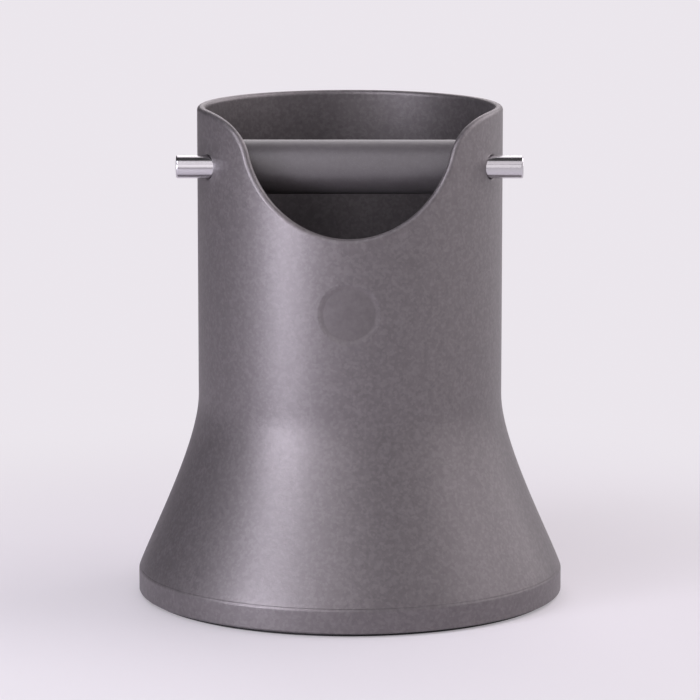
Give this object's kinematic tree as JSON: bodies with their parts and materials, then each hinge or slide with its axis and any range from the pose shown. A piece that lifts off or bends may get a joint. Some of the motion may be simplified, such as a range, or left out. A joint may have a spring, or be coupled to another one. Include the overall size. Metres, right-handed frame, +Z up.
{
  "type": "espresso knock box",
  "caption": "Flared round knock bin with a scooped notch in its mouth, a cushioned knock bar on a steel rod across it, and a press-in base.",
  "frame": {"origin": "on the table, under the centre of the bin", "axes": "+Z up along the bin's axis, -Y towards the notch, +X along the knock bar"},
  "size_m": [0.1514, 0.1514, 0.175],
  "materials": {
    "shell_plastic": "fine speckled graphite grey, satin",
    "pan_plastic": "fine speckled graphite grey, satin",
    "seal_rubber": "black, matt",
    "foot_rubber": "black, matt",
    "grommet_rubber": "black, matt",
    "rod_steel": "polished stainless",
    "sleeve_rubber": "dark grey, semi-gloss"
  },
  "bodies": {
    "housing": {"body_shell": "shell_plastic", "base_pan": "pan_plastic", "base_seal": "seal_rubber", "foot_ring": "foot_rubber", "rod_grommet_left": "grommet_rubber", "rod_grommet_right": "grommet_rubber"},
    "sleeve": {"bar_sleeve": "sleeve_rubber"},
    "rod": {"bar_rod": "rod_steel"}
  },
  "joints": [
    {"name": "bar_spin", "type": "hinge", "parent": "housing", "child": "sleeve", "pos_m": [0, -0.021, 0.1556], "axis": [1, 0, 0], "continuous": true},
    {"name": "rod_slide", "type": "slide", "parent": "sleeve", "child": "rod", "axis": [1, 0, 0], "range_m": [-0.1025, 0.1025]}
  ]
}
